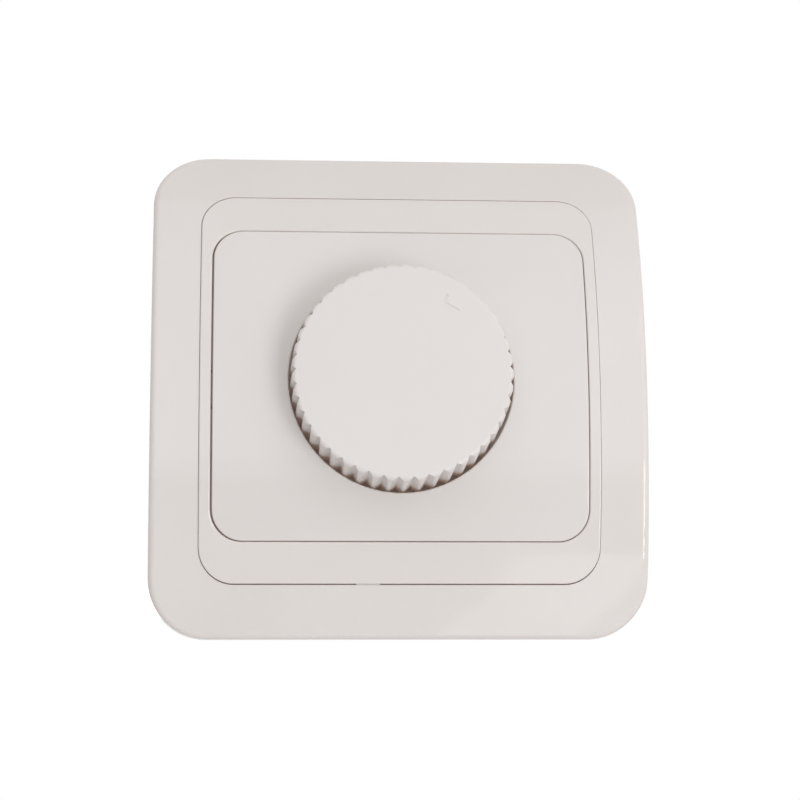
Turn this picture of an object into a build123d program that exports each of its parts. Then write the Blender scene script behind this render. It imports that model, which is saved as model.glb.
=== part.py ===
from build123d import *
import os
from math import radians, sqrt, tan

# A rotary dimmer for a flush wall box, in millimetres.
# X runs to the right and Z up, the wall is the plane Y = 0 and the room lies towards -Y.
# A height is a distance from the wall plane: positive into the room, negative into the box.

# Arched front: every front skin is a stretch of one family of cylinders that lie along X
arch_radius = 87.0
plate_crown = 13.6
bezel_crown = 13.5
frame_crown = 13.2
arch_axis_depth = arch_radius - plate_crown
arch_span = 100.0

# Outer frame
frame_size = 86.0
frame_corner = 10.0
frame_draft = 2.0
frame_wall = 2.2
frame_edge = 1.1
frame_rim = 2.0
frame_rib = 1.2
frame_rib_places = (-30.0, -10.0, 10.0, 30.0)
frame_ledge = 2.2
frame_ledge_height = 2.0
window_size = 68.6
window_corner = 6.0
front_edge = 0.25

# Bezel ring between the outer frame and the centre plate
bezel_side_gap = 0.08
bezel_end_gap = 0.18
bezel_wall = 1.8
bezel_skin = 1.8
bezel_inner_wall = 1.2
bezel_ledge = 1.5
bezel_ledge_thickness = 1.2
bezel_pocket_length = 56.0
bezel_rib = 1.2
bezel_rib_places = (-14.0, 0.0, 14.0)
snap_nub_x = -5.4
snap_nub_width = 4.0
snap_nub_length = 1.6
snap_nub_sink = 0.3
snap_nub_play = 0.05
opening_width = 64.6
opening_height = 54.6
opening_corner = 5.3

# Centre plate with its well for the knob
plate_side_gap = 0.22
plate_end_gap = 0.1
plate_shift = 0.08
plate_wall = 1.4
plate_skin = 1.8
well_radius = 19.25
well_wall = 1.5
well_floor = 2.0
plate_rib = 1.2
plate_rib_count = 8

# Mounting bridge, a pressed steel plate that the wall-box screws hold
bridge_size = 71.0
bridge_corner = 5.0
bridge_thickness = 1.2
box_screw_pitch = 60.3
slot_width = 3.9
slot_length = 7.0
screw_head_room = 4.0

# Front cover of the insert
cover_size = 50.0
cover_corner = 5.0
cover_thickness = 3.4
cover_edge = 0.6

# Insert housing behind the bridge
housing_size = 50.0
housing_corner = 4.0
housing_depth = 26.0
housing_wall = 1.8
housing_edge = 1.0
boss_radius = 3.0
boss_place = 20.5
shelf_width = 2.0
shelf_reach = 1.6
shelf_place = 8.0
vent_width = 1.4
vent_length = 12.0
vent_pitch = 3.4
vent_count = 4
vent_middle_z = 9.0

# Case screws, which hold cover, bridge and housing together
case_screw_radius = 1.25
case_screw_head_radius = 2.2
case_screw_head = 1.6
case_screw_length = 14.0
screw_clearance = 0.1
drive_slot_width = 0.7
drive_slot_depth = 0.7

# Circuit board
board_gap = 0.4
board_front = -7.4
board_thickness = 1.6
board_boss_gap = 0.3
board_hole = 3.0

# Control shaft, its bushing and the nut that clamps the centre plate
shaft_radius = 2.0
shaft_flat = 0.6
shaft_top = 17.4
shaft_shoulder_radius = 2.6
shaft_shoulder = 1.2
shaft_tip_radius = 1.5
running_clearance = 0.05
fixed_clearance = 0.03
bushing_radius = 4.0
bushing_top = 9.6
bushing_flange_radius = 6.0
bushing_flange = 1.0
bushing_hole_clearance = 0.15
washer_radius = 7.0
washer_thickness = 0.5
nut_width = 11.0
nut_height = 2.0

# Knob
knob_clearance = 0.25
knob_taper = 0.3
knob_top = 19.6
knob_bottom = 8.6
knob_edge = 0.8
knob_skin = 2.0
knob_wall = 1.6
flute_count = 45
flute_depth = 0.7
flute_angle = 102.0
flute_overcut = 0.05
flute_turn = 3.2
push_travel = 1.5
boss_outer_radius = 4.2
boss_bottom = 11.4
knob_rib = 1.0
knob_rib_count = 6
knob_rib_bottom = 13.0
pointer_angle = 30.0
pointer_place = 13.8
pointer_strokes = ((63.0, 1.6), (-28.0, 3.0))
pointer_width = 0.4
pointer_depth = 0.12

# Potentiometer
pot_radius = 8.2
pot_wall = 0.6
pot_front_wall = 0.8
pot_base_thickness = 0.8
pot_base_hole = 3.0
rotor_radius = 6.9
rotor_disc = 1.6
rotor_hub_radius = 3.2
rotor_end_play = 0.2
rotor_disc_back = -4.2
track_inner = 4.6
track_outer = 6.4
track_thickness = 0.15
track_sweep = 300.0
track_gap = 0.15
wiper_thickness = 0.3
wiper_ring_radius = 5.0
wiper_foot = 1.2

# Push switch behind the board
switch_size = 11.0
switch_depth = 8.4
switch_wall = 0.8
plunger_radius = 2.0
plunger_flange_radius = 3.4
plunger_flange = 1.0
plunger_stem = 2.9
plunger_play = 0.1
contact_bar_length = 8.0
contact_bar_width = 1.8
contact_thickness = 0.4
contact_foot = 2.0
spring_width = 2.0
spring_thickness = 0.2
spring_span = 8.6

# Triac, bolted to the bridge through an insulating pad
triac_x = -15.0
triac_z = 1.8
triac_width = 10.0
triac_length = 15.6
triac_body_length = 9.2
triac_thickness = 4.4
triac_tab = 1.3
triac_hole_radius = 1.8
triac_hole_inset = 2.9
triac_lead = 0.7
triac_lead_pitch = 2.54
triac_lead_reach = 2.0
pad_thickness = 0.3
pad_margin = 0.8
triac_screw_radius = 1.45
triac_screw_head_radius = 2.7
triac_screw_head = 1.8
triac_nut_width = 5.5
triac_nut_height = 2.4

# Fuse in two clips
fuse_z = -15.5
fuse_axis_height = -1.0
fuse_length = 20.0
fuse_radius = 2.6
fuse_cap_length = 5.0
fuse_cap_wall = 0.18
clip_thickness = 0.4
clip_width = 4.0
clip_leg = 1.6
fuse_window_width = 24.0
fuse_window_height = 8.0

# Brightness trimmer
trimmer_x = 15.0
trimmer_z = 13.0
trimmer_size = 7.0
trimmer_depth = 4.8
trimmer_rotor_radius = 2.0
trimmer_rotor_depth = 3.0
trimmer_stand_out = 0.4
trimmer_access_radius = 2.6

# Choke, capacitors and small parts
choke_x = -12.0
choke_z = 12.0
choke_inner = 3.6
choke_outer = 7.9
choke_height = 6.0
winding_thickness = 0.8
winding_sweep = 310.0
film_capacitor_x = 10.5
film_capacitor_z = 13.0
film_capacitor_width = 15.0
film_capacitor_height = 8.0
film_capacitor_depth = 12.0
capacitor_places = ((12.5, 2.0), (17.8, 2.0))
capacitor_width = 3.6
capacitor_length = 9.0
capacitor_depth = 5.5
capacitor_edge = 0.5
resistor_places = ((14.5, -5.6), (14.5, -8.6))
resistor_radius = 1.1
resistor_length = 6.3
diac_x = -15.0
diac_z = -11.0
diac_radius = 0.95
diac_length = 4.0
lead_width = 0.5
lead_reach = 1.2

# Screw terminals along the lower side of the housing
terminal_places = (-13.0, 0.0, 13.0)
terminal_width = 6.6
terminal_length = 9.0
terminal_gap = 1.0
terminal_base = 1.8
terminal_wall = 1.2
terminal_opening = 4.2
terminal_screw_radius = 1.6
terminal_screw_head_radius = 2.6
terminal_screw_head = 1.6
wire_hole_radius = 1.8
funnel_wall = 1.1
funnel_mouth = 0.9

# Heights that follow from the stack of pieces
cover_front = bridge_thickness + cover_thickness
ledge_front = bridge_thickness + frame_ledge_height
plate_seat = ledge_front + bezel_ledge_thickness
well_front = cover_front + well_floor
washer_front = well_front + washer_thickness
board_back = board_front - board_thickness
housing_floor = housing_wall - housing_depth
case_back = board_front
case_front = -bushing_flange
rotor_front = case_front - pot_front_wall - rotor_end_play
base_front = board_front + pot_base_thickness
track_front = base_front + track_thickness
shaft_shoulder_front = rotor_disc_back - rotor_disc - 2 * running_clearance
plunger_front = board_back - plunger_play
shaft_bottom = board_back
plunger_flange_front = plunger_front - plunger_stem
bar_front = plunger_flange_front - plunger_flange
switch_back = board_back - switch_depth

os.makedirs("parts", exist_ok=True)

# Plane through the knob's axis for turned pieces: local X is the radius, local Y the height
turning = Plane((0, 0, 0), x_dir=(1, 0, 0), z_dir=(0, 0, -1))


def face(height):
    """Sketch plane parallel to the wall at this height, with X to the right and Z up."""
    return Plane.XZ.offset(height)


def arch(crown, mode):
    """The lying cylinder whose skin is the arched front with its middle at this height."""
    with Locations((0, arch_axis_depth, 0)):
        Cylinder(arch_axis_depth + crown, arch_span, rotation=(0, 90, 0), mode=mode)


def finish_part(builder, name):
    """Label a finished sub-part and write it as one STEP file of the same name."""
    builder.part.label = name
    export_step(builder.part, f"parts/{name}.step")


def arched_face(builder):
    """The large curved front of a piece."""
    return builder.faces().filter_by(GeomType.CYLINDER).sort_by(SortBy.AREA)[-1]


# Outer frame: a hollow moulded shell with a square window and a ledge for the bezel ring
rim_size = window_size + 2 * frame_rim
cavity_size = frame_size - 2 * frame_wall

with BuildPart() as frame_cavity:
    with BuildSketch(face(0)):
        RectangleRounded(cavity_size, cavity_size, frame_corner - frame_wall)
        RectangleRounded(rim_size, rim_size, window_corner + frame_rim, mode=Mode.SUBTRACT)
        with Locations([(place, 0) for place in frame_rib_places]):
            Rectangle(frame_rib, frame_size, mode=Mode.SUBTRACT)
        with Locations([(0, place) for place in frame_rib_places]):
            Rectangle(frame_size, frame_rib, mode=Mode.SUBTRACT)
    extrude(amount=frame_crown)
    arch(frame_crown - frame_wall, Mode.INTERSECT)

with BuildPart() as outer_frame:
    with BuildSketch(face(0)):
        RectangleRounded(frame_size, frame_size, frame_corner)
    extrude(amount=frame_crown + frame_wall, taper=frame_draft)
    arch(frame_crown, Mode.INTERSECT)
    fillet(arched_face(outer_frame).edges(), frame_edge)
    add(frame_cavity.part, mode=Mode.SUBTRACT)
    with BuildSketch(face(ledge_front)):
        RectangleRounded(window_size, window_size, window_corner)
    extrude(amount=frame_crown, mode=Mode.SUBTRACT)
    with BuildSketch(face(0)):
        ledge_opening = window_size - 2 * frame_ledge
        RectangleRounded(ledge_opening, ledge_opening, window_corner - frame_ledge)
        with GridLocations(box_screw_pitch, 0, 2, 1):
            Circle(screw_head_room)
        with GridLocations(0, box_screw_pitch, 1, 2):
            Circle(screw_head_room)
    extrude(amount=ledge_front, mode=Mode.SUBTRACT)
    with BuildSketch(face(0)):
        RectangleRounded(rim_size, rim_size, window_corner + frame_rim)
    extrude(amount=bridge_thickness, mode=Mode.SUBTRACT)
finish_part(outer_frame, "outer_frame")

# Bezel ring: it stands on the frame's ledge and carries the centre plate on its own ledge
bezel_width = window_size - 2 * bezel_side_gap
bezel_height = window_size - 2 * bezel_end_gap
pocket_outer = bezel_height / 2 - bezel_wall
pocket_inner = opening_height / 2 + bezel_inner_wall
pocket_width = pocket_outer - pocket_inner
bezel_rim_height = sqrt((arch_axis_depth + bezel_crown) ** 2 - (bezel_height / 2) ** 2) - arch_axis_depth

with BuildPart() as bezel_pockets:
    with BuildSketch(face(ledge_front)):
        with GridLocations(0, pocket_outer + pocket_inner, 1, 2):
            Rectangle(bezel_pocket_length, pocket_width)
        with Locations([(place, 0) for place in bezel_rib_places]):
            Rectangle(bezel_rib, bezel_height, mode=Mode.SUBTRACT)
    extrude(amount=bezel_crown)
    arch(bezel_crown - bezel_skin, Mode.INTERSECT)

with BuildPart() as bezel_ring:
    with BuildSketch(face(ledge_front)):
        RectangleRounded(bezel_width, bezel_height, window_corner - bezel_side_gap)
    extrude(amount=bezel_crown)
    arch(bezel_crown, Mode.INTERSECT)
    with BuildSketch(face(plate_seat)):
        RectangleRounded(opening_width, opening_height, opening_corner)
    extrude(amount=bezel_crown, mode=Mode.SUBTRACT)
    fillet(arched_face(bezel_ring).edges(), front_edge)
    with BuildSketch(face(ledge_front)):
        RectangleRounded(
            opening_width - 2 * bezel_ledge,
            opening_height - 2 * bezel_ledge,
            opening_corner - bezel_ledge,
        )
        with GridLocations(box_screw_pitch, 0, 2, 1):
            Circle(screw_head_room)
    extrude(amount=bezel_ledge_thickness, mode=Mode.SUBTRACT)
    add(bezel_pockets.part, mode=Mode.SUBTRACT)
    with BuildSketch(face(bezel_rim_height - snap_nub_sink)):
        with Locations((snap_nub_x, -bezel_height / 2)):
            Rectangle(snap_nub_width, 2 * (bezel_end_gap - snap_nub_play))
    extrude(amount=-snap_nub_length)
finish_part(bezel_ring, "bezel_ring")

# Centre plate: an arched shell with a round well, ribs behind it and a floor that is clamped
plate_width = opening_width - 2 * plate_side_gap
plate_height = opening_height - 2 * plate_end_gap
plate_corner = opening_corner - plate_end_gap
collar_radius = well_radius + well_wall
bushing_hole = bushing_radius + bushing_hole_clearance

with BuildPart() as plate_cavity:
    with BuildSketch(face(plate_seat)):
        RectangleRounded(
            plate_width - 2 * plate_wall,
            plate_height - 2 * plate_wall,
            plate_corner - plate_wall,
        )
        Circle(collar_radius, mode=Mode.SUBTRACT)
        with PolarLocations(collar_radius, plate_rib_count):
            Rectangle(plate_width, plate_rib, mode=Mode.SUBTRACT)
    extrude(amount=plate_crown)
    with BuildSketch(face(plate_seat)):
        RectangleRounded(
            plate_width - 2 * plate_wall,
            plate_height - 2 * plate_wall,
            plate_corner - plate_wall,
        )
    extrude(amount=cover_front - plate_seat)
    arch(plate_crown - plate_skin, Mode.INTERSECT)

with BuildPart() as centre_plate:
    with BuildSketch(face(plate_seat)):
        RectangleRounded(plate_width, plate_height, plate_corner)
    extrude(amount=plate_crown)
    arch(plate_crown, Mode.INTERSECT)
    with BuildSketch(face(well_front)):
        Circle(well_radius)
    extrude(amount=plate_crown, mode=Mode.SUBTRACT)
    fillet(arched_face(centre_plate).edges(), front_edge)
    add(plate_cavity.part, mode=Mode.SUBTRACT)
    with BuildSketch(face(cover_front)):
        Circle(bushing_hole)
    extrude(amount=well_floor, mode=Mode.SUBTRACT)
centre_plate.part.move(Location((plate_shift, 0, 0)))
finish_part(centre_plate, "centre_plate")

# Knob: a hollow cap that narrows towards its top, fluted all round, with a boss for the shaft
knob_radius = well_radius - knob_clearance
knob_top_radius = knob_radius - knob_taper
valley_radius = knob_top_radius - flute_depth
flute_reach = knob_radius - valley_radius + flute_overcut
flute_half = flute_reach * tan(radians(flute_angle / 2))
bore_radius = shaft_radius + fixed_clearance
knob_hollow_radius = valley_radius - knob_wall
knob_hollow_top = knob_top - knob_skin

with BuildPart() as knob:
    with BuildSketch(turning):
        with BuildLine():
            Polyline(
                (0, knob_bottom),
                (knob_radius, knob_bottom),
                (knob_top_radius, knob_top),
                (0, knob_top),
                close=True,
            )
        make_face()
    revolve(axis=Axis.Y)
    fillet(knob.edges().group_by(Axis.Y)[0], knob_edge)
    with BuildSketch(face(knob_bottom)):
        with PolarLocations(valley_radius, flute_count, start_angle=flute_turn):
            Polygon((0, 0), (flute_reach, -flute_half), (flute_reach, flute_half), align=None)
    extrude(amount=knob_top - knob_bottom, mode=Mode.SUBTRACT)
    with BuildSketch(face(knob_bottom)):
        Circle(knob_hollow_radius)
    extrude(amount=knob_hollow_top - knob_bottom, mode=Mode.SUBTRACT)
    with BuildSketch(face(knob_rib_bottom)):
        with PolarLocations(knob_hollow_radius / 2, knob_rib_count):
            Rectangle(knob_hollow_radius + knob_wall, knob_rib)
    extrude(amount=knob_hollow_top - knob_rib_bottom)
    with BuildSketch(face(boss_bottom)):
        Circle(boss_outer_radius)
    extrude(amount=knob_hollow_top - boss_bottom)
    with BuildSketch(face(boss_bottom)):
        Circle(bore_radius)
        with Locations((0, 2 * shaft_radius - shaft_flat + fixed_clearance)):
            Rectangle(2 * bore_radius, 2 * shaft_radius, mode=Mode.SUBTRACT)
    extrude(amount=shaft_top + fixed_clearance - boss_bottom, mode=Mode.SUBTRACT)
    with BuildSketch(face(knob_top)):
        with PolarLocations(pointer_place, 1, start_angle=90 - pointer_angle):
            for direction, stroke in pointer_strokes:
                with PolarLocations(stroke / 2, 1, start_angle=direction + pointer_angle - 90):
                    SlotOverall(stroke, pointer_width)
    extrude(amount=-pointer_depth, mode=Mode.SUBTRACT)
finish_part(knob, "knob")

# Control shaft: flats at both ends, a shoulder that stops it against the rotor and a push tip
shoulder_back = shaft_shoulder_front - shaft_shoulder
flat_start = boss_bottom - running_clearance
rotor_flat_end = rotor_front + push_travel + 2 * running_clearance

with BuildPart() as control_shaft:
    with BuildSketch(turning):
        with BuildLine():
            Polyline(
                (0, shaft_bottom),
                (shaft_tip_radius, shaft_bottom),
                (shaft_tip_radius, shoulder_back),
                (shaft_shoulder_radius, shoulder_back),
                (shaft_shoulder_radius, shaft_shoulder_front),
                (shaft_radius, shaft_shoulder_front),
                (shaft_radius, shaft_top),
                (0, shaft_top),
                close=True,
            )
        make_face()
    revolve(axis=Axis.Y)
    with BuildSketch(face(shaft_top)):
        with Locations((0, 2 * shaft_radius - shaft_flat)):
            Rectangle(2 * shaft_radius, 2 * shaft_radius)
    extrude(amount=flat_start - shaft_top, mode=Mode.SUBTRACT)
    with BuildSketch(face(shaft_shoulder_front)):
        with Locations((0, 2 * shaft_radius - shaft_flat)):
            Rectangle(2 * shaft_radius, 2 * shaft_radius)
    extrude(amount=rotor_flat_end - shaft_shoulder_front, mode=Mode.SUBTRACT)
finish_part(control_shaft, "control_shaft")

# Washer and hexagon nut that clamp the floor of the well
with BuildPart() as clamp_washer:
    with BuildSketch(face(well_front)):
        Circle(washer_radius)
        Circle(bushing_hole, mode=Mode.SUBTRACT)
    extrude(amount=washer_thickness)
finish_part(clamp_washer, "clamp_washer")

with BuildPart() as clamp_nut:
    with BuildSketch(face(washer_front)):
        RegularPolygon(nut_width / 2, 6, major_radius=False)
        Circle(bushing_radius + fixed_clearance, mode=Mode.SUBTRACT)
    extrude(amount=nut_height)
finish_part(clamp_nut, "clamp_nut")

# Mounting bridge: a flat plate with elongated holes on the box-screw pitch
triac_hole_z = triac_z + triac_length / 2 - triac_hole_inset
boss_spacing = 2 * boss_place

with BuildPart() as mounting_bridge:
    with BuildSketch(face(0)):
        RectangleRounded(bridge_size, bridge_size, bridge_corner)
        Circle(bushing_hole, mode=Mode.SUBTRACT)
        with GridLocations(box_screw_pitch, 0, 2, 1):
            SlotOverall(slot_length, slot_width, mode=Mode.SUBTRACT)
        with GridLocations(0, box_screw_pitch, 1, 2):
            SlotOverall(slot_length, slot_width, rotation=90, mode=Mode.SUBTRACT)
        with GridLocations(boss_spacing, boss_spacing, 2, 2):
            Circle(case_screw_radius + screw_clearance, mode=Mode.SUBTRACT)
        with Locations((0, fuse_z)):
            Rectangle(fuse_window_width, fuse_window_height, mode=Mode.SUBTRACT)
        with Locations((trimmer_x, trimmer_z)):
            Circle(trimmer_access_radius, mode=Mode.SUBTRACT)
        with Locations((triac_x, triac_hole_z)):
            Circle(triac_screw_radius + screw_clearance, mode=Mode.SUBTRACT)
    extrude(amount=bridge_thickness)
finish_part(mounting_bridge, "mounting_bridge")

# Insert cover: the insulating front that the centre plate's floor is pulled against
with BuildPart() as insert_cover:
    with BuildSketch(face(bridge_thickness)):
        RectangleRounded(cover_size, cover_size, cover_corner)
    extrude(amount=cover_thickness)
    chamfer(insert_cover.edges().group_by(Axis.Y)[0], cover_edge)
    with BuildSketch(face(bridge_thickness)):
        Circle(bushing_hole)
        with Locations((0, fuse_z)):
            Rectangle(fuse_window_width, fuse_window_height)
        with Locations((trimmer_x, trimmer_z)):
            Circle(trimmer_access_radius)
        with GridLocations(boss_spacing, boss_spacing, 2, 2):
            Circle(case_screw_radius + screw_clearance)
    extrude(amount=cover_thickness, mode=Mode.SUBTRACT)
    with BuildSketch(face(cover_front)):
        with GridLocations(boss_spacing, boss_spacing, 2, 2):
            Circle(case_screw_head_radius + screw_clearance)
    extrude(amount=-case_screw_head, mode=Mode.SUBTRACT)
    with BuildSketch(face(bridge_thickness)):
        with Locations((triac_x, triac_hole_z)):
            Circle(triac_screw_head_radius + screw_clearance)
    extrude(amount=triac_screw_head + screw_clearance, mode=Mode.SUBTRACT)
finish_part(insert_cover, "insert_cover")

# Case screws, one in each corner
screw_seat = cover_front - case_screw_head

with BuildPart() as case_screws:
    with BuildSketch(face(screw_seat)):
        with GridLocations(boss_spacing, boss_spacing, 2, 2):
            Circle(case_screw_radius)
    extrude(amount=-case_screw_length)
    with BuildSketch(face(screw_seat)):
        with GridLocations(boss_spacing, boss_spacing, 2, 2):
            Circle(case_screw_head_radius)
    extrude(amount=case_screw_head)
    with BuildSketch(face(cover_front)):
        with GridLocations(boss_spacing, boss_spacing, 2, 2):
            Rectangle(2 * case_screw_head_radius, drive_slot_width)
            Rectangle(drive_slot_width, 2 * case_screw_head_radius)
    extrude(amount=-drive_slot_depth, mode=Mode.SUBTRACT)
finish_part(case_screws, "case_screws")

# Insert housing: an open cup with screw bosses, board shelves, wire funnels and vents
cup_size = housing_size - 2 * housing_wall
terminal_low_z = terminal_gap - cup_size / 2
wire_z = terminal_low_z + terminal_base + terminal_opening / 2
terminal_back = board_back - terminal_length
terminal_middle = board_back - terminal_length / 2
boss_points = [(x, z) for x in (-boss_place, boss_place) for z in (-boss_place, boss_place)]
shelf_points = [
    (side * (cup_size - shelf_reach) / 2, z) for side in (-1, 1) for z in (-shelf_place, shelf_place)
]
wire_points = [(place, wire_z) for place in terminal_places]

with BuildPart() as insert_housing:
    with BuildSketch(face(-housing_depth)):
        RectangleRounded(housing_size, housing_size, housing_corner)
    extrude(amount=housing_depth)
    chamfer(insert_housing.edges().group_by(Axis.Y)[-1], housing_edge)
    with BuildSketch(face(housing_floor)):
        RectangleRounded(cup_size, cup_size, housing_corner - housing_wall)
    extrude(amount=-housing_floor, mode=Mode.SUBTRACT)
    with BuildSketch(face(housing_floor)):
        with Locations(boss_points):
            Circle(boss_radius)
    extrude(amount=-housing_floor)
    with BuildSketch(face(housing_floor)):
        with Locations(shelf_points):
            Rectangle(shelf_reach, shelf_width)
    extrude(amount=board_back - housing_floor)
    with BuildSketch(face(housing_floor)):
        with Locations(wire_points):
            Circle(wire_hole_radius + funnel_wall)
    extrude(amount=terminal_back - housing_floor)
    with BuildSketch(face(-housing_depth)):
        with Locations(wire_points):
            Circle(wire_hole_radius)
    extrude(amount=terminal_back + housing_depth, mode=Mode.SUBTRACT)
    with BuildSketch(face(-housing_depth)):
        with Locations(wire_points):
            Circle(wire_hole_radius + funnel_mouth)
    extrude(amount=funnel_mouth, taper=45, mode=Mode.SUBTRACT)
    with BuildSketch(face(0)):
        with Locations(boss_points):
            Circle(case_screw_radius + fixed_clearance)
    extrude(amount=screw_seat - case_screw_length - 1, mode=Mode.SUBTRACT)
    with BuildSketch(Plane.XY.offset(-housing_size / 2)):
        with Locations([(place, -terminal_middle) for place in terminal_places]):
            Circle(terminal_screw_head_radius + 2 * screw_clearance)
    extrude(amount=housing_wall, mode=Mode.SUBTRACT)
    with BuildSketch(face(-housing_depth)):
        with Locations((0, vent_middle_z)):
            with GridLocations(0, vent_pitch, 1, vent_count):
                SlotOverall(vent_length, vent_width)
    extrude(amount=housing_wall, mode=Mode.SUBTRACT)
finish_part(insert_housing, "insert_housing")

# Circuit board with its corners cut back for the bosses
board_size = cup_size - 2 * board_gap
board_corner_cut = board_size - boss_spacing + (boss_radius + board_boss_gap) * sqrt(2)

with BuildPart() as circuit_board:
    with BuildSketch(face(board_back)) as board_outline:
        Rectangle(board_size, board_size)
        chamfer(board_outline.vertices(), board_corner_cut)
        Circle(board_hole, mode=Mode.SUBTRACT)
    extrude(amount=board_thickness)
finish_part(circuit_board, "circuit_board")

# Potentiometer: threaded bushing, can, base disc, resistive track, rotor and wiper
with BuildPart() as pot_bushing:
    with BuildSketch(turning):
        with BuildLine():
            Polyline(
                (shaft_radius + running_clearance, case_front - pot_front_wall),
                (rotor_hub_radius, case_front - pot_front_wall),
                (rotor_hub_radius, case_front),
                (bushing_flange_radius, case_front),
                (bushing_flange_radius, 0),
                (bushing_radius, 0),
                (bushing_radius, bushing_top),
                (shaft_radius + running_clearance, bushing_top),
                close=True,
            )
        make_face()
    revolve(axis=Axis.Y)
finish_part(pot_bushing, "pot_bushing")

with BuildPart() as pot_case:
    with BuildSketch(face(case_back)):
        Circle(pot_radius)
    extrude(amount=case_front - case_back)
    with BuildSketch(face(case_back)):
        Circle(pot_radius - pot_wall)
    extrude(amount=case_front - pot_front_wall - case_back, mode=Mode.SUBTRACT)
    with BuildSketch(face(case_front)):
        Circle(rotor_hub_radius + fixed_clearance)
    extrude(amount=-pot_front_wall, mode=Mode.SUBTRACT)
finish_part(pot_case, "pot_case")

with BuildPart() as pot_base:
    with BuildSketch(face(board_front)):
        Circle(pot_radius - pot_wall - fixed_clearance)
        Circle(pot_base_hole, mode=Mode.SUBTRACT)
    extrude(amount=pot_base_thickness)
finish_part(pot_base, "pot_base")

with BuildPart() as resistive_track:
    with BuildSketch(turning):
        with Locations(((track_inner + track_outer) / 2, base_front + track_thickness / 2)):
            Rectangle(track_outer - track_inner, track_thickness)
    revolve(axis=Axis.Y, revolution_arc=track_sweep)
finish_part(resistive_track, "resistive_track")

rotor_back = shaft_shoulder_front + 2 * running_clearance

with BuildPart() as pot_rotor:
    with BuildSketch(turning):
        with BuildLine():
            Polyline(
                (0, rotor_back),
                (rotor_hub_radius, rotor_back),
                (rotor_hub_radius, rotor_disc_back),
                (rotor_radius, rotor_disc_back),
                (rotor_radius, rotor_disc_back + rotor_disc),
                (rotor_hub_radius, rotor_disc_back + rotor_disc),
                (rotor_hub_radius, rotor_front),
                (0, rotor_front),
                close=True,
            )
        make_face()
    revolve(axis=Axis.Y)
    with BuildSketch(face(rotor_back)):
        Circle(shaft_radius + running_clearance)
        with Locations((0, 2 * shaft_radius - shaft_flat + running_clearance)):
            Rectangle(3 * shaft_radius, 2 * shaft_radius, mode=Mode.SUBTRACT)
    extrude(amount=rotor_front - rotor_back, mode=Mode.SUBTRACT)
finish_part(pot_rotor, "pot_rotor")

with BuildPart() as wiper_contact:
    with BuildSketch(face(rotor_disc_back)):
        Circle(wiper_ring_radius)
        Circle(rotor_hub_radius + fixed_clearance, mode=Mode.SUBTRACT)
        with Locations(((track_inner + track_outer) / 2, 0)):
            Rectangle(track_outer - track_inner, wiper_foot)
    extrude(amount=-wiper_thickness)
    with BuildSketch(face(rotor_disc_back)):
        with Locations(((track_inner + track_outer) / 2, 0)):
            Rectangle(wiper_foot, wiper_foot)
    extrude(amount=track_front + track_gap - rotor_disc_back)
finish_part(wiper_contact, "wiper_contact")

# Push switch: case, plunger with its contact bar, two fixed contacts and a bowed leaf spring
switch_inner = switch_size - 2 * switch_wall
foot_front = bar_front - contact_thickness - push_travel - plunger_play

with BuildPart() as switch_case:
    with BuildSketch(face(switch_back)):
        Rectangle(switch_size, switch_size)
    extrude(amount=switch_depth)
    with BuildSketch(face(switch_back + switch_wall)):
        Rectangle(switch_inner, switch_inner)
    extrude(amount=switch_depth - 2 * switch_wall, mode=Mode.SUBTRACT)
    with BuildSketch(face(board_back)):
        Circle(plunger_radius + running_clearance)
    extrude(amount=-switch_wall, mode=Mode.SUBTRACT)
finish_part(switch_case, "switch_case")

with BuildPart() as switch_plunger:
    with BuildSketch(face(plunger_front)):
        Circle(plunger_radius)
    extrude(amount=-plunger_stem)
    with BuildSketch(face(plunger_flange_front)):
        Circle(plunger_flange_radius)
    extrude(amount=-plunger_flange)
finish_part(switch_plunger, "switch_plunger")

with BuildPart() as moving_contact:
    with BuildSketch(face(bar_front)):
        SlotOverall(contact_bar_length, contact_bar_width)
    extrude(amount=-contact_thickness)
finish_part(moving_contact, "moving_contact")

with BuildPart() as fixed_contacts:
    with BuildSketch(face(board_back - switch_wall)):
        with GridLocations(switch_inner - contact_thickness, 0, 2, 1):
            Rectangle(contact_thickness, contact_bar_width)
    extrude(amount=foot_front - contact_thickness - board_back + switch_wall)
    with BuildSketch(face(foot_front)):
        with GridLocations(switch_inner - contact_foot, 0, 2, 1):
            Rectangle(contact_foot, contact_bar_width)
    extrude(amount=-contact_thickness)
finish_part(fixed_contacts, "fixed_contacts")

spring_foot = switch_back + switch_wall + spring_thickness
spring_apex = bar_front - contact_thickness

with BuildPart() as return_spring:
    with BuildSketch(Plane.YZ):
        with BuildLine() as spring_line:
            ThreePointArc(
                (-spring_foot, -spring_span / 2),
                (-spring_apex + spring_thickness, 0),
                (-spring_foot, spring_span / 2),
            )
            offset(amount=spring_thickness, side=Side.RIGHT)
        make_face()
    extrude(amount=spring_width / 2, both=True)
finish_part(return_spring, "return_spring")

# Triac on its insulating pad, with its screw and nut
triac_bottom = triac_z - triac_length / 2
tab_back = -pad_thickness - triac_tab

with BuildPart() as insulating_pad:
    with BuildSketch(face(-pad_thickness)):
        with Locations((triac_x, triac_z)):
            Rectangle(triac_width + 2 * pad_margin, triac_length + 2 * pad_margin)
        with Locations((triac_x, triac_hole_z)):
            Circle(triac_hole_radius, mode=Mode.SUBTRACT)
    extrude(amount=pad_thickness)
finish_part(insulating_pad, "insulating_pad")

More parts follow.
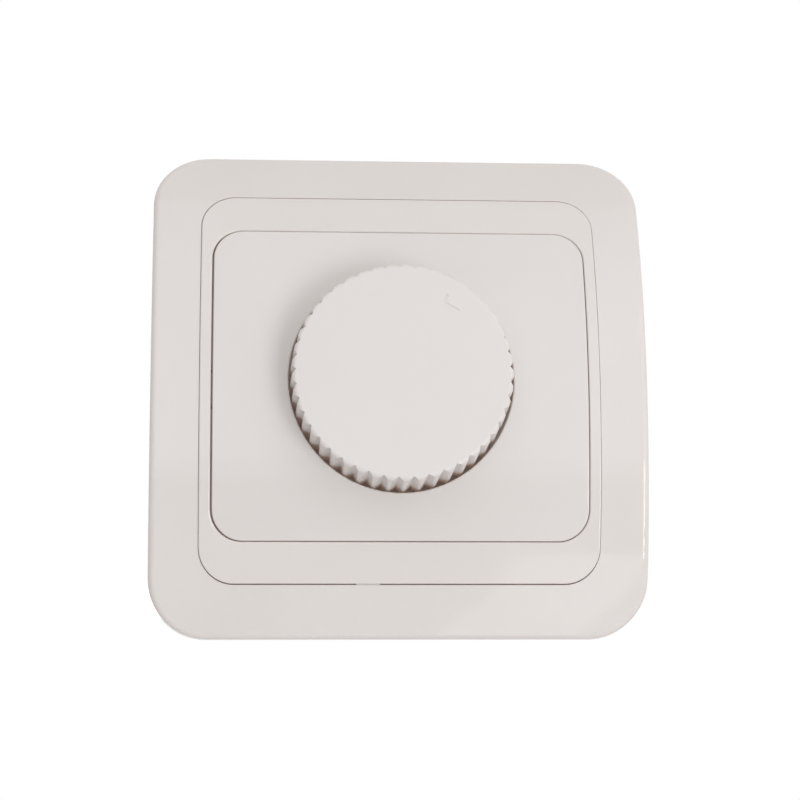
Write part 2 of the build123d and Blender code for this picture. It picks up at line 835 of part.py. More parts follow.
with BuildPart() as triac:
    with BuildSketch(face(-pad_thickness)):
        with Locations((triac_x, triac_z)):
            Rectangle(triac_width, triac_length)
        with Locations((triac_x, triac_hole_z)):
            Circle(triac_hole_radius, mode=Mode.SUBTRACT)
    extrude(amount=-triac_tab)
    with BuildSketch(face(-pad_thickness)):
        with Locations((triac_x, triac_bottom + triac_body_length / 2)):
            Rectangle(triac_width, triac_body_length)
    extrude(amount=-triac_thickness)
    with BuildSketch(face(-pad_thickness - triac_thickness / 2)):
        with Locations((triac_x, triac_bottom - triac_lead_reach / 2)):
            with GridLocations(triac_lead_pitch, 0, 3, 1):
                Rectangle(triac_lead, triac_lead_reach)
    extrude(amount=-triac_lead)
    with BuildSketch(face(-pad_thickness - triac_thickness / 2)):
        with Locations((triac_x, triac_bottom - triac_lead_reach + triac_lead / 2)):
            with GridLocations(triac_lead_pitch, 0, 3, 1):
                Rectangle(triac_lead, triac_lead)
    extrude(amount=board_front + pad_thickness + triac_thickness / 2)
finish_part(triac, "triac")

with BuildPart() as triac_screw:
    with BuildSketch(face(bridge_thickness)):
        with Locations((triac_x, triac_hole_z)):
            Circle(triac_screw_radius)
    extrude(amount=tab_back - triac_nut_height - bridge_thickness)
    with BuildSketch(face(bridge_thickness)):
        with Locations((triac_x, triac_hole_z)):
            Circle(triac_screw_head_radius)
    extrude(amount=triac_screw_head)
    with BuildSketch(face(bridge_thickness + triac_screw_head)):
        with Locations((triac_x, triac_hole_z)):
            Rectangle(2 * triac_screw_head_radius, drive_slot_width)
    extrude(amount=-drive_slot_depth, mode=Mode.SUBTRACT)
finish_part(triac_screw, "triac_screw")

with BuildPart() as triac_nut:
    with BuildSketch(face(tab_back)):
        with Locations((triac_x, triac_hole_z)):
            RegularPolygon(triac_nut_width / 2, 6, major_radius=False)
            Circle(triac_screw_radius + fixed_clearance, mode=Mode.SUBTRACT)
    extrude(amount=-triac_nut_height)
finish_part(triac_nut, "triac_nut")

# Fuse: a glass tube with two end caps in two sprung clips on the board
fuse_end = Plane((0, -fuse_axis_height, fuse_z), x_dir=(0, 1, 0), z_dir=(1, 0, 0))
fuse_glass_radius = fuse_radius - fuse_cap_wall - fixed_clearance
cap_spacing = fuse_length - fuse_cap_length

with BuildPart() as fuse_tube:
    with BuildSketch(fuse_end):
        Circle(fuse_glass_radius)
        Circle(fuse_glass_radius - 2 * fuse_cap_wall, mode=Mode.SUBTRACT)
    extrude(amount=fuse_length / 2 - fuse_cap_wall, both=True)
finish_part(fuse_tube, "fuse_tube")

with BuildPart() as fuse_caps:
    for side in (-1, 1):
        with BuildSketch(fuse_end.offset(side * fuse_length / 2)):
            Circle(fuse_radius)
        extrude(amount=-side * fuse_cap_length)
        with BuildSketch(fuse_end.offset(side * (fuse_length / 2 - fuse_cap_wall))):
            Circle(fuse_radius - fuse_cap_wall)
        extrude(amount=-side * fuse_cap_length, mode=Mode.SUBTRACT)
finish_part(fuse_caps, "fuse_caps")

clip_half = fuse_radius + fixed_clearance + clip_thickness
clip_seat = fuse_axis_height - fuse_radius - fixed_clearance

with BuildPart() as fuse_clips:
    with BuildSketch(face(clip_seat)):
        with Locations((0, fuse_z)):
            with GridLocations(cap_spacing, 0, 2, 1):
                Rectangle(clip_width, 2 * clip_half)
    extrude(amount=-clip_thickness)
    with BuildSketch(face(clip_seat - clip_thickness)):
        with Locations((0, fuse_z)):
            with GridLocations(cap_spacing, 2 * clip_half - clip_thickness, 2, 2):
                Rectangle(clip_width, clip_thickness)
    extrude(amount=fuse_axis_height + clip_thickness - clip_seat + fuse_radius / 2)
    with BuildSketch(face(clip_seat - clip_thickness)):
        with Locations((0, fuse_z)):
            with GridLocations(cap_spacing, 0, 2, 1):
                Rectangle(clip_width, clip_leg)
    extrude(amount=board_front - clip_seat + clip_thickness)
finish_part(fuse_clips, "fuse_clips")

# Brightness trimmer: a small block with a slotted rotor behind the access hole
trimmer_front = board_front + trimmer_depth
trimmer_rotor_front = trimmer_front + trimmer_stand_out

with BuildPart() as trimmer_body:
    with BuildSketch(face(board_front)):
        with Locations((trimmer_x, trimmer_z)):
            Rectangle(trimmer_size, trimmer_size)
    extrude(amount=trimmer_depth)
    with BuildSketch(face(trimmer_front)):
        with Locations((trimmer_x, trimmer_z)):
            Circle(trimmer_rotor_radius + running_clearance)
    extrude(amount=trimmer_stand_out - trimmer_rotor_depth, mode=Mode.SUBTRACT)
finish_part(trimmer_body, "trimmer_body")

with BuildPart() as trimmer_rotor:
    with BuildSketch(face(trimmer_rotor_front)):
        with Locations((trimmer_x, trimmer_z)):
            Circle(trimmer_rotor_radius)
    extrude(amount=running_clearance - trimmer_rotor_depth)
    with BuildSketch(face(trimmer_rotor_front)):
        with Locations((trimmer_x, trimmer_z)):
            Rectangle(2 * trimmer_rotor_radius, drive_slot_width)
    extrude(amount=-drive_slot_depth, mode=Mode.SUBTRACT)
finish_part(trimmer_rotor, "trimmer_rotor")

# Choke: a ring core with its winding on the back of the board
core_front = board_back - winding_thickness
choke_axis = Axis((choke_x, 0, choke_z), (0, 1, 0))
choke_plane = Plane((choke_x, 0, choke_z), x_dir=(1, 0, 0), z_dir=(0, 0, -1))
choke_mean = (choke_inner + choke_outer) / 2
coil_width = choke_outer - choke_inner
core_middle = core_front - choke_height / 2

with BuildPart() as choke_core:
    with BuildSketch(choke_plane):
        with Locations((choke_mean, core_middle)):
            Rectangle(coil_width, choke_height)
    revolve(axis=choke_axis)
finish_part(choke_core, "choke_core")

with BuildPart() as choke_winding:
    with BuildSketch(choke_plane):
        with Locations((choke_mean, core_middle)):
            Rectangle(coil_width + 2 * winding_thickness, choke_height + 2 * winding_thickness)
            Rectangle(
                coil_width + 2 * fixed_clearance,
                choke_height + 2 * fixed_clearance,
                mode=Mode.SUBTRACT,
            )
    revolve(axis=choke_axis, revolution_arc=winding_sweep)
finish_part(choke_winding, "choke_winding")

# Film capacitor behind the board and two smaller ones in front of it
with BuildPart() as film_capacitor:
    with BuildSketch(face(board_back)):
        with Locations((film_capacitor_x, film_capacitor_z)):
            Rectangle(film_capacitor_width, film_capacitor_height)
    extrude(amount=-film_capacitor_depth)
    fillet(film_capacitor.edges().filter_by(Axis.Y), capacitor_edge)
finish_part(film_capacitor, "film_capacitor")

with BuildPart() as timing_capacitors:
    with BuildSketch(face(board_front)):
        with Locations(capacitor_places):
            RectangleRounded(capacitor_width, capacitor_length, capacitor_edge)
    extrude(amount=capacitor_depth)
finish_part(timing_capacitors, "timing_capacitors")


def axial_part(x, z, radius, length):
    """A small cylinder along X on two bent leads that stand on the board."""
    middle = board_front + radius + lead_width
    with Locations((x, -middle, z)):
        Cylinder(radius, length, rotation=(0, 90, 0))
        Box(length + 2 * lead_reach, lead_width, lead_width)
    with Locations((x, -(board_front + middle) / 2, z)):
        with GridLocations(length + 2 * lead_reach - lead_width, 0, 2, 1):
            Box(lead_width, middle - board_front, lead_width)


with BuildPart() as resistors:
    for resistor_x, resistor_z in resistor_places:
        axial_part(resistor_x, resistor_z, resistor_radius, resistor_length)
finish_part(resistors, "resistors")

with BuildPart() as diac:
    axial_part(diac_x, diac_z, diac_radius, diac_length)
finish_part(diac, "diac")

# Screw terminals: brass cages on the back of the board, with screws from below
with BuildPart() as terminal_cages:
    cage_height = terminal_base + terminal_opening + terminal_wall
    cage_z = terminal_low_z + cage_height / 2
    with BuildSketch(face(board_back)):
        with Locations([(place, cage_z) for place in terminal_places]):
            Rectangle(terminal_width, cage_height)
        with Locations(wire_points):
            Rectangle(terminal_width - 2 * terminal_wall, terminal_opening, mode=Mode.SUBTRACT)
    extrude(amount=-terminal_length)
    with BuildSketch(Plane.XY.offset(terminal_low_z)):
        with Locations([(place, -terminal_middle) for place in terminal_places]):
            Circle(terminal_screw_radius + fixed_clearance)
    extrude(amount=terminal_base, mode=Mode.SUBTRACT)
finish_part(terminal_cages, "terminal_cages")

with BuildPart() as terminal_screws:
    with BuildSketch(Plane.XY.offset(terminal_low_z)):
        with Locations([(place, -terminal_middle) for place in terminal_places]):
            Circle(terminal_screw_head_radius)
    extrude(amount=-terminal_screw_head)
    with BuildSketch(Plane.XY.offset(terminal_low_z)):
        with Locations([(place, -terminal_middle) for place in terminal_places]):
            Circle(terminal_screw_radius)
    extrude(amount=terminal_base + terminal_wall)
    with BuildSketch(Plane.XY.offset(terminal_low_z - terminal_screw_head)):
        with Locations([(place, -terminal_middle) for place in terminal_places]):
            Rectangle(2 * terminal_screw_head_radius, drive_slot_width)
    extrude(amount=drive_slot_depth, mode=Mode.SUBTRACT)
finish_part(terminal_screws, "terminal_screws")
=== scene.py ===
import bmesh
import bpy
from mathutils import Matrix, Vector


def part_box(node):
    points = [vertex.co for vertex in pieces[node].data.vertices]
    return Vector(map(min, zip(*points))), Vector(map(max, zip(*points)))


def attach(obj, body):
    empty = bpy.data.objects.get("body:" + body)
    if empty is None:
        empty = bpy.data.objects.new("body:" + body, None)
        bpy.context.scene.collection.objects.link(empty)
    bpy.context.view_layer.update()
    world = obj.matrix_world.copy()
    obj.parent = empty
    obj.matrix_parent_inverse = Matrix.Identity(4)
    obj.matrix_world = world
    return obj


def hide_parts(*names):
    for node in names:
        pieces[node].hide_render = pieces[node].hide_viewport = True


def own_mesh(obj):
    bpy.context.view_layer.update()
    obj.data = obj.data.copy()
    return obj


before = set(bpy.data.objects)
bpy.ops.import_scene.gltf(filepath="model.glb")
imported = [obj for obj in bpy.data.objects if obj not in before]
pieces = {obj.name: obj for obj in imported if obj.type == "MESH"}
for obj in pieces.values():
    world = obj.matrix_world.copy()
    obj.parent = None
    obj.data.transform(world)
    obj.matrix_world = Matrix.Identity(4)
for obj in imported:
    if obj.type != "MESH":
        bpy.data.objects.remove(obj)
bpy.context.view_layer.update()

# The rotary dimmer is put together here from the wall outwards: the bridge and the insert that
# sit in the wall box, then the frame, bezel ring and centre plate, and last the knob. Lengths are
# metres, X runs to the right and Z up, and the room lies towards -Y.


# Mounting bridge. A plate of zinc-plated steel, pressed out of sheet, that two or four box screws
# pull against the wall; the rolled sheet has faint streaks along X and a mottled zinc bloom.
bridge_zinc = (0.62, 0.63, 0.635)
bridge_bloom = (0.50, 0.505, 0.50)
rolled_grain = 420.0
rolled_streak = 6.0
bloom_share = 0.4
bloom_detail = 5.0
bloom_stops = (0.35, 0.65)
streak_detail = 3.0
streak_gloss = (0.75, 1.3)
streak_strength = 0.25
streak_depth = 0.00002


def feed(tree, node, inputs):
    """Set a node's inputs, each to a plain value or to another node's output."""
    for name, value in inputs.items():
        if isinstance(value, bpy.types.NodeSocket):
            tree.links.new(value, node.inputs[name])
        else:
            node.inputs[name].default_value = value
    return node


def add_node(tree, kind, inputs, **settings):
    """A new node with these settings and inputs."""
    node = tree.nodes.new(kind)
    for name, value in settings.items():
        setattr(node, name, value)
    return feed(tree, node, inputs)


def start_material(name):
    """A new material, given with its tree, its shader and the Object coordinates."""
    material = bpy.data.materials.new(name)
    material.use_nodes = True
    tree = material.node_tree
    place = add_node(tree, "ShaderNodeTexCoord", {}).outputs["Object"]
    return material, tree, tree.nodes["Principled BSDF"], place


def mottle(tree, place, scale, detail):
    """Noise of this scale, about 0 to 1."""
    inputs = {"Vector": place, "Scale": scale, "Detail": detail}
    return add_node(tree, "ShaderNodeTexNoise", inputs).outputs["Fac"]


def two_tone(tree, value, first, second, stops=(0.0, 1.0)):
    """Blend from the first colour to the second while a value goes from stop to stop."""
    ramp = add_node(tree, "ShaderNodeValToRGB", {"Fac": value})
    for element, stop, colour in zip(ramp.color_ramp.elements, stops, (first, second)):
        element.position = stop
        element.color = (*colour, 1.0)
    return ramp.outputs["Color"]


def spread(tree, value, low, high):
    """Turn a value between 0 and 1 into one between low and high."""
    inputs = {"Value": value, "To Min": low, "To Max": high}
    return add_node(tree, "ShaderNodeMapRange", inputs).outputs["Result"]


def uneven(tree, height, strength, depth, **under):
    """Normal of a skin that is this uneven, on top of another unevenness if Normal is given."""
    inputs = {"Height": height, "Strength": strength, "Distance": depth, **under}
    return add_node(tree, "ShaderNodeBump", inputs).outputs["Normal"]


def plated_metal(name, bright, dull, roughness, grain=rolled_grain, streak=rolled_streak):
    """Metal with a cloudy plating, fine streaks along X and a soft unevenness in its gloss."""
    metal, tree, shader, place = start_material(name)
    bloom = mottle(tree, place, grain * bloom_share, bloom_detail)
    stretch = add_node(tree, "ShaderNodeMapping", {"Vector": place, "Scale": (1.0, streak, streak)})
    streaks = mottle(tree, stretch.outputs["Vector"], grain, streak_detail)
    smooth, rough = streak_gloss
    feed(tree, shader, {
        "Metallic": 1.0,
        "Base Color": two_tone(tree, bloom, dull, bright, bloom_stops),
        "Roughness": spread(tree, streaks, roughness * smooth, roughness * rough),
        "Normal": uneven(tree, streaks, streak_strength, streak_depth),
    })
    return metal


def finish_piece(name, material):
    """Give a carried piece its finish in place of the plain one."""
    slots = pieces[name].data.materials
    slots.clear()
    slots.append(material)


zinc_sheet = plated_metal("zinc_plated_sheet", bridge_zinc, bridge_bloom, roughness=0.36)
finish_piece("mounting_bridge", zinc_sheet)


# Insert housing and front cover. Two mouldings in dark grey polyamide, matt from the sparked
# surface of the mould, held to the bridge by four screws, with a paler bloom where they are worn.
insert_grey = (0.060, 0.061, 0.064)
insert_worn = (0.085, 0.085, 0.088)
screw_zinc = (0.60, 0.61, 0.60)
screw_bloom = (0.45, 0.45, 0.43)
spark_grain = 2600.0
spark_detail = 2.0
spark_strength = 0.45
spark_depth = 0.00004
wear_scale = 90.0
wear_detail = 6.0
wear_stops = (0.38, 0.70)
wear_gloss = (0.85, 1.15)


def sparked_plastic(name, colour, worn, roughness, grain=spark_grain):
    """Matt plastic with the fine pitted skin of a spark-eroded mould and cloudy tone."""
    plastic, tree, shader, place = start_material(name)
    cloud = mottle(tree, place, wear_scale, wear_detail)
    pits = mottle(tree, place, grain, spark_detail)
    smooth, rough = wear_gloss
    feed(tree, shader, {
        "Base Color": two_tone(tree, cloud, colour, worn, wear_stops),
        "Roughness": spread(tree, cloud, roughness * smooth, roughness * rough),
        "Normal": uneven(tree, pits, spark_strength, spark_depth),
    })
    return plastic


insert_plastic = sparked_plastic("insert_polyamide", insert_grey, insert_worn, roughness=0.52)
finish_piece("insert_housing", insert_plastic)
finish_piece("insert_cover", insert_plastic)
fastener_zinc = plated_metal(
    "fastener_zinc", screw_zinc, screw_bloom, roughness=0.3, grain=900.0, streak=1.0
)
finish_piece("case_screws", fastener_zinc)


# Terminals along the lower side. Brass cages soldered to the board, each with a zinc-plated screw
# that is reached through a hole in the housing.
cage_brass = (0.72, 0.52, 0.24)
cage_tarnish = (0.58, 0.40, 0.17)
contact_brass = plated_metal("contact_brass", cage_brass, cage_tarnish, roughness=0.3, grain=700.0)
finish_piece("terminal_cages", contact_brass)
finish_piece("terminal_screws", fastener_zinc)


# Circuit board and what is soldered to it. Glass-fibre laminate under a green mask, boxed film
# capacitors, a ring choke and small parts, all out of sight inside the housing. Each plastic has
# its colour, its paler worn colour, its roughness and the grain of its skin.
board_plastics = {
    "circuit_board": ("board_laminate", (0.020, 0.085, 0.032), (0.03, 0.11, 0.04), 0.35, 1400.0),
    "triac": ("epoxy_black", (0.020, 0.020, 0.021), (0.032, 0.032, 0.034), 0.45, spark_grain),
    "insulating_pad": ("silicone_grey", (0.36, 0.34, 0.32), (0.42, 0.40, 0.37), 0.7, 1800.0),
    "choke_core": ("core_coating", (0.50, 0.38, 0.05), (0.58, 0.46, 0.08), 0.5, 1500.0),
    "film_capacitor": ("film_box_yellow", (0.66, 0.46, 0.03), (0.72, 0.52, 0.06), 0.3, 900.0),
    "timing_capacitors": ("film_dip_blue", (0.03, 0.09, 0.30), (0.05, 0.13, 0.36), 0.25, 700.0),
    "resistors": ("lacquer_beige", (0.50, 0.36, 0.20), (0.56, 0.42, 0.26), 0.35, 1200.0),
    "diac": ("bead_amber", (0.40, 0.12, 0.05), (0.46, 0.16, 0.07), 0.15, 600.0),
    "trimmer_body": ("trimmer_blue", (0.03, 0.12, 0.36), (0.05, 0.16, 0.42), 0.4, spark_grain),
    "trimmer_rotor": ("trimmer_white", (0.66, 0.66, 0.62), (0.72, 0.72, 0.68), 0.4, spark_grain),
}
for soldered, (plastic_name, colour, worn, roughness, grain) in board_plastics.items():
    finish_piece(soldered, sparked_plastic(plastic_name, colour, worn, roughness, grain))
copper_bright = (0.72, 0.31, 0.14)
copper_dull = (0.55, 0.22, 0.10)
winding_wire = plated_metal("winding_wire", copper_bright, copper_dull, roughness=0.28, grain=1500.0)
finish_piece("choke_winding", winding_wire)
finish_piece("triac_screw", fastener_zinc)
finish_piece("triac_nut", fastener_zinc)


# Fuse behind the centre plate. A clear glass tube between two nickel-plated caps, in two brass
# spring clips that stand on the board.
tube_tint = (0.93, 0.98, 0.97)
tube_clear = (1.0, 1.0, 1.0)
tube_waves = 300.0
tube_wave_detail = 2.0
tube_gloss = (0.01, 0.05)
glass_ior = 1.5
nickel_bright = (0.66, 0.63, 0.57)
nickel_dull = (0.56, 0.53, 0.47)


def clear_glass(name, tint):
    """Clear drawn glass with a hint of waviness in its tint and gloss."""
    glass, tree, shader, place = start_material(name)
    waves = mottle(tree, place, tube_waves, tube_wave_detail)
    feed(tree, shader, {
        "Transmission Weight": 1.0,
        "IOR": glass_ior,
        "Base Color": two_tone(tree, waves, tint, tube_clear),
        "Roughness": spread(tree, waves, *tube_gloss),
    })
    return glass


finish_piece("fuse_tube", clear_glass("fuse_glass", tube_tint))
nickel = plated_metal("nickel_plate", nickel_bright, nickel_dull, roughness=0.2, grain=800.0, streak=1.5)
finish_piece("fuse_caps", nickel)
finish_piece("fuse_clips", contact_brass)


# Potentiometer and control shaft. The bushing carries the nut that clamps the centre plate; behind
# it a steel can holds the carbon track, and the rotor that the flat of the shaft turns.
finish_piece("pot_bushing", nickel)
finish_piece("pot_case", zinc_sheet)
phenolic_brown = sparked_plastic(
    "phenolic_brown", colour=(0.13, 0.055, 0.022), worn=(0.17, 0.075, 0.03), roughness=0.45, grain=1600.0
)
finish_piece("pot_base", phenolic_brown)
carbon_film = sparked_plastic(
    "carbon_film", colour=(0.012, 0.012, 0.012), worn=(0.02, 0.02, 0.02), roughness=0.35, grain=1600.0
)
finish_piece("resistive_track", carbon_film)
acetal = sparked_plastic(
    "natural_acetal", colour=(0.62, 0.60, 0.53), worn=(0.68, 0.66, 0.60), roughness=0.4
)
finish_piece("pot_rotor", acetal)
finish_piece("wiper_contact", contact_brass)
shaft_polyamide = sparked_plastic(
    "shaft_polyamide", colour=(0.26, 0.24, 0.22), worn=(0.31, 0.29, 0.27), roughness=0.38
)
finish_piece("control_shaft", shaft_polyamide)


# Push switch behind the board. Black polyester case with a plunger that the shaft's tip presses,
# brass contacts and a bowed leaf spring, which is pressed flatter by the plunger and brings it back.
strip_bright = (0.56, 0.56, 0.56)
strip_dull = (0.44, 0.44, 0.45)
polyester_black = sparked_plastic(
    "polyester_black", colour=(0.018, 0.018, 0.019), worn=(0.03, 0.03, 0.032), roughness=0.4
)
finish_piece("switch_case", polyester_black)
finish_piece("switch_plunger", acetal)
finish_piece("moving_contact", contact_brass)
finish_piece("fixed_contacts", contact_brass)
spring_strip = plated_metal("spring_strip", strip_bright, strip_dull, roughness=0.22, grain=900.0)
finish_piece("return_spring", spring_strip)
spring_mesh = pieces["return_spring"].data.copy()
spring_mesh.transform(pieces["return_spring"].matrix_world)
bowed_spring = bpy.data.objects.new("bowed_spring", spring_mesh)
bpy.context.scene.collection.objects.link(bowed_spring)
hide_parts("return_spring")
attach(bowed_spring, "insert")
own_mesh(bowed_spring)


# Washer and nut in the well, under the knob. Plated steel washer and a nickel-plated hexagon nut.
finish_piece("clamp_washer", fastener_zinc)
finish_piece("clamp_nut", nickel)


# Outer frame. A hollow shell moulded in warm-white glossy plastic that stands on the wall with its
# rim. Its polished skin is very slightly wavy. Down in the seams a warmer, darker painted shade is
# mixed into its colour, with a faint painted glow that stands in for light coming through the walls.
arch_axis = 0.0734
frame_crown = 0.0132
window_reach = 0.0362
everywhere = 1.0
frame_white = (0.735, 0.705, 0.682)
frame_shade = (0.715, 0.683, 0.660)
plastic_ior = 1.5
skin_gloss = 0.05
skin_gloss_range = (0.85, 1.2)
skin_cloud = 45.0
skin_cloud_detail = 3.0
skin_cloud_stops = (0.3, 0.7)
skin_wave = 55.0
skin_wave_detail = 1.0
skin_wave_strength = 0.3
skin_wave_depth = 0.00025
skin_peel = 900.0
skin_peel_detail = 2.0
skin_peel_strength = 0.1
skin_peel_depth = 0.00001
# Painted warm shade mixed into the colour down in the seams, and a faint painted glow there in the same
# tone.
painted_seam_tone = (0.76, 0.64, 0.57)
painted_seam_glow = 0.038
seam_start = 0.00012
seam_end = 0.0007
seam_floor = -0.0033


def reckon(tree, operation, *values):
    """One Math node fed with sockets or plain numbers; gives its output."""
    inputs = dict(enumerate(values))
    return add_node(tree, "ShaderNodeMath", inputs, operation=operation).outputs["Value"]


def painted_seam_mask(tree, place, crown, reach):
    """Painted seam shade and glow: 0 on the arched front whose middle is this high, 1 down in the seams
    within this reach.
    """
    axes = add_node(tree, "ShaderNodeSeparateXYZ", {"Vector": place}).outputs
    upright = reckon(tree, "MULTIPLY", axes["Z"], axes["Z"])
    skin = reckon(tree, "SQRT", reckon(tree, "SUBTRACT", (arch_axis + crown) ** 2, upright))
    height = reckon(tree, "SUBTRACT", arch_axis, axes["Y"])
    depth = add_node(
        tree,
        "ShaderNodeMapRange",
        {"Value": reckon(tree, "SUBTRACT", skin, height), "From Min": seam_start, "From Max": seam_end},
        interpolation_type="SMOOTHSTEP",
    )
    side = reckon(tree, "ABSOLUTE", axes["X"])
    farther = reckon(tree, "MAXIMUM", side, reckon(tree, "ABSOLUTE", axes["Z"]))
    inside = reckon(tree, "LESS_THAN", farther, reach)
    in_front = reckon(tree, "LESS_THAN", axes["Y"], seam_floor)
    return reckon(tree, "MULTIPLY", depth.outputs["Result"], reckon(tree, "MULTIPLY", inside, in_front))


def polished_plastic(name, colour, shade, roughness, crown, reach=everywhere, offset=(0, 0, 0)):
    """Glossy moulded plastic: cloudy tone, painted warm shade and a painted glow down in the seams,
    a faint wave and orange peel.

    The offset gives each piece a cloud and a wave of its own.
    """
    plastic, tree, shader, place = start_material(name)
    shifted = add_node(tree, "ShaderNodeMapping", {"Vector": place, "Location": offset}).outputs["Vector"]
    cloud = mottle(tree, shifted, skin_cloud, skin_cloud_detail)
    wave = mottle(tree, shifted, skin_wave, skin_wave_detail)
    peel = mottle(tree, shifted, skin_peel, skin_peel_detail)
    # Down in the seams the colour takes a painted warm shade, and a painted glow of the same tone is
    # added.
    mask = painted_seam_mask(tree, place, crown, reach)
    tone = two_tone(tree, cloud, shade, colour, skin_cloud_stops)
    seams = add_node(
        tree, "ShaderNodeMix", {"Factor": mask, "A": tone, "B": (*painted_seam_tone, 1.0)}, data_type="RGBA"
    )
    waviness = uneven(tree, wave, skin_wave_strength, skin_wave_depth)
    smooth, rough = skin_gloss_range
    feed(tree, shader, {
        "IOR": plastic_ior,
        "Base Color": seams.outputs["Result"],
        "Roughness": spread(tree, cloud, roughness * smooth, roughness * rough),
        "Normal": uneven(tree, peel, skin_peel_strength, skin_peel_depth, Normal=waviness),
        "Emission Color": (*painted_seam_tone, 1.0),
        "Emission Strength": reckon(tree, "MULTIPLY", mask, painted_seam_glow),
    })
    return plastic


frame_skin = polished_plastic(
    "frame_plastic", frame_white, frame_shade, skin_gloss, frame_crown, reach=window_reach
)
finish_piece("outer_frame", frame_skin)


# Bezel ring. It stands on the ledge in the frame's window and carries the plate, in the same
# plastic, with a hair-thin gap all round.
ring_crown = 0.0135
ring_white = (0.735, 0.702, 0.680)
ring_shade = (0.715, 0.680, 0.658)
# Its skin has the same painted warm shade and painted glow down in the seams as the frame.
ring_skin = polished_plastic(
    "ring_plastic", ring_white, ring_shade, skin_gloss, ring_crown, offset=(0.3, 0, 0)
)
finish_piece("bezel_ring", ring_skin)


# Seam tongues. A small tongue of the ring's plastic on each side, in the recess over the box screw,
# closes the seam between ring and plate from behind, so that no light comes through it.
tongue_middle = 0.0320
tongue_size = (0.0014, 0.0009, 0.0062)
tongue_depth = 0.00385
tongue_round = 0.00015


def make_piece(name, form, material):
    """An object at the origin from a finished bmesh, in one material."""
    mesh = bpy.data.meshes.new(name)
    form.to_mesh(mesh)
    form.free()
    mesh.materials.append(material)
    piece = bpy.data.objects.new(name, mesh)
    bpy.context.scene.collection.objects.link(piece)
    return piece


tongue_form = bmesh.new()
for side in (-1, 1):
    block = bmesh.ops.create_cube(tongue_form, size=1.0)["verts"]
    bmesh.ops.scale(tongue_form, verts=block, vec=tongue_size)
    bmesh.ops.translate(tongue_form, verts=block, vec=(side * tongue_middle, -tongue_depth, 0))
bmesh.ops.bevel(
    tongue_form,
    geom=tongue_form.edges[:],
    offset=tongue_round,
    affect="EDGES",
    segments=2,
    profile=0.5,
    material=-1,
)
tongues = make_piece("seam_tongues", tongue_form, ring_skin)
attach(tongues, "insert")


# Centre plate. The arched plate with the well for the knob, clamped at the floor of the well.
plate_crown = 0.0136
plate_white = (0.730, 0.702, 0.680)
plate_shade = (0.712, 0.682, 0.660)
# Its skin has the same painted warm shade and painted glow down in the seams and in the well.
plate_skin = polished_plastic(
    "plate_plastic", plate_white, plate_shade, skin_gloss, plate_crown, offset=(0, 0.4, 0)
)
finish_piece("centre_plate", plate_skin)


# Knob. A fluted cap pushed on the flat of the shaft, in plastic of the same white with a softer
# gloss. Below the plate's arch, in the well, it takes the painted shade and painted glow of the seams.
knob_white = (0.728, 0.702, 0.681)
knob_shade = (0.714, 0.688, 0.667)
knob_gloss = 0.34
knob_skin = polished_plastic(
    "knob_plastic", knob_white, knob_shade, knob_gloss, plate_crown, offset=(0, 0, 0.5)
)
finish_piece("knob", knob_skin)


# Stage. A pale floor some way below, for the views from above; the front view looks slightly up
# at the face and sees only white. The table is what the skin mirrors; the camera sees the wide
# floor just above it, which goes on to the horizon.
table_level = -0.55
table_half = 2.5
table_tone = (0.84, 0.855, 0.86)
floor_level = -0.548
floor_half = 60.0
floor_tone = (0.90, 0.985, 1.0)
floor_roughness = 0.9


def floor_square(name, level, half, tone):
    """A level matt square below the object."""
    paint, tree, shader, _ = start_material(name)
    feed(tree, shader, {"Base Color": (*tone, 1.0), "Roughness": floor_roughness})
    form = bmesh.new()
    bmesh.ops.create_grid(form, x_segments=1, y_segments=1, size=half)
    bmesh.ops.translate(form, verts=form.verts, vec=(0, 0, level))
    square = make_piece(name, form, paint)
    return square


floor_square("table", table_level, table_half, table_tone)
floor = floor_square("floor", floor_level, floor_half, floor_tone)
floor.visible_diffuse = False
floor.visible_glossy = False
floor.visible_transmission = False
floor.visible_shadow = False


# White room. Seen and mirrored it is white; as light on the object it is a warmer glow from
# above that fades away below the horizon.
room_glow = 0.72
room_tint = (1.0, 0.90, 0.88)
room_white = (1.0, 1.0, 1.0)
glow_start = -0.3
glow_end = 0.3
room = bpy.data.worlds.new("room")
bpy.context.scene.world = room
room.use_nodes = True
room_tree = room.node_tree
rays = add_node(room_tree, "ShaderNodeLightPath", {}).outputs
seen = reckon(room_tree, "MAXIMUM", rays["Is Camera Ray"], rays["Is Glossy Ray"])
seen = reckon(room_tree, "MAXIMUM", seen, rays["Is Transmission Ray"])
way = add_node(room_tree, "ShaderNodeTexCoord", {}).outputs["Generated"]
way_axes = add_node(room_tree, "ShaderNodeSeparateXYZ", {"Vector": way}).outputs
glow_range = {"Value": way_axes["Z"], "From Min": glow_start, "From Max": glow_end, "To Max": room_glow}
glow = add_node(room_tree, "ShaderNodeMapRange", glow_range).outputs["Result"]
room_tones = {"Factor": seen, "A": (*room_tint, 1.0), "B": (*room_white, 1.0)}
feed(room_tree, room_tree.nodes["Background"], {
    "Color": add_node(room_tree, "ShaderNodeMix", room_tones, data_type="RGBA").outputs["Result"],
    "Strength": spread(room_tree, seen, glow, 1.0),
})


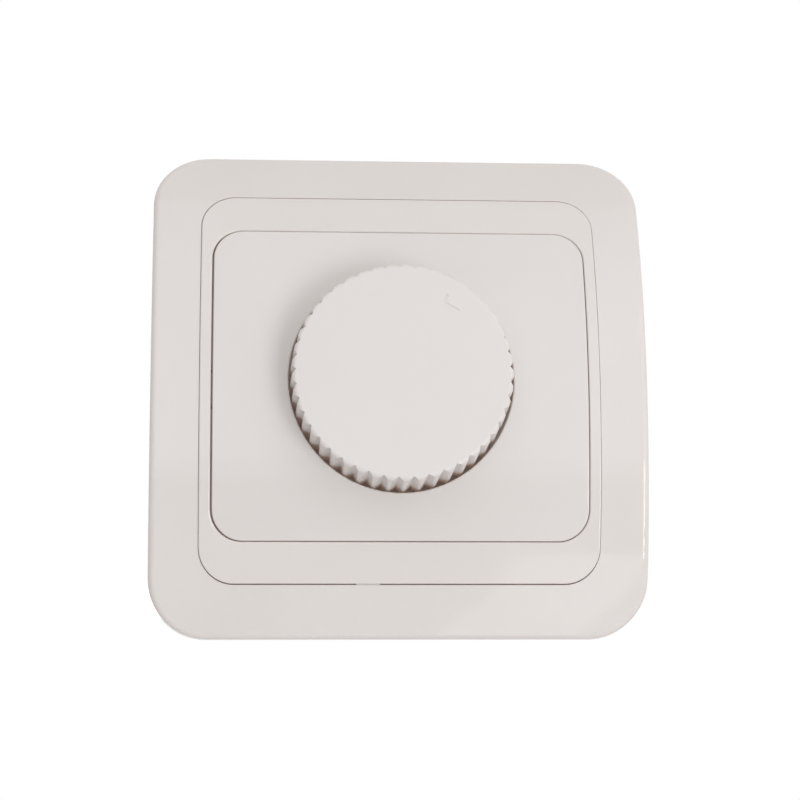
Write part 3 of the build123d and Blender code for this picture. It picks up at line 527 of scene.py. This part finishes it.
# Lamps. A soft key from the lower right throws the knob's shadow up and to the left, with a weak
# fill from above and one from the right, and a fourth lights the back; two cards are only
# mirrored in the skin. Places and sizes are metres, powers are watts.
def soft_lamp(name, place, width, height, power, tint):
    """A soft box that looks at the middle of the face."""
    light = bpy.data.lights.new(name, "AREA")
    light.shape = "RECTANGLE"
    light.energy = power
    light.size = width
    light.size_y = height
    light.color = tint
    lamp = bpy.data.objects.new(name, light)
    bpy.context.scene.collection.objects.link(lamp)
    lamp.location = place
    lamp.rotation_euler = (-Vector(place)).to_track_quat("-Z", "Y").to_euler()
    lamp.visible_camera = False
    return lamp


soft_lamp("key", (0.31, -0.55, -0.21), width=0.26, height=0.26, power=1.25, tint=(0.96, 0.98, 1.0))
soft_lamp("fill", (-0.02, -0.81, 0.42), width=1.30, height=1.30, power=2.34, tint=(0.81, 0.97, 1.0))
soft_lamp("side", (0.62, -0.60, 0.10), width=0.70, height=0.70, power=0.74, tint=(0.96, 1.0, 0.98))
soft_lamp("rear", (-0.25, 0.85, 0.35), width=0.80, height=0.80, power=1.10, tint=(0.86, 0.97, 1.0))
window_card = soft_lamp(
    "window_card", (0.207, -0.55, -0.205), width=0.12, height=0.09, power=0.045, tint=(1.0, 0.99, 0.98)
)
low_card = soft_lamp(
    "low_card", (0.102, -0.42, -0.42), width=0.06, height=0.26, power=0.048, tint=(1.0, 0.98, 0.97)
)
for card in (window_card, low_card):
    card.visible_diffuse = False


# Camera. It stands 372 mm in front of the crown of the plate, a little below and to the left, and
# is turned as the photograph shows.
crown_height = -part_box("centre_plate")[0].y
camera_distance = 0.37196
camera_pitch = -0.2155
camera_yaw = 0.0680
camera_roll = 0.0084
camera_side = 0.000186
camera_lift = 0.003602
focal_pixels = 2183.75
picture_width = 800
sensor_width = 36.0
turn = (
    Matrix.Rotation(camera_roll, 3, "Z")
    @ Matrix.Rotation(camera_pitch, 3, "X")
    @ Matrix.Rotation(camera_yaw, 3, "Y")
)
to_wall_frame = Matrix(((1, 0, 0), (0, 0, -1), (0, 1, 0)))
stand = to_wall_frame @ (turn.transposed() @ Vector((-camera_side, -camera_lift, camera_distance)))
stand.y -= crown_height
camera_data = bpy.data.cameras.new("camera")
camera_data.sensor_width = sensor_width
camera_data.lens = sensor_width * focal_pixels / picture_width
camera = bpy.data.objects.new("camera", camera_data)
bpy.context.scene.collection.objects.link(camera)
camera.matrix_world = Matrix.Translation(stand) @ (to_wall_frame @ turn.transposed()).to_4x4()
bpy.context.scene.camera = camera
bpy.context.scene.view_settings.view_transform = "Standard"
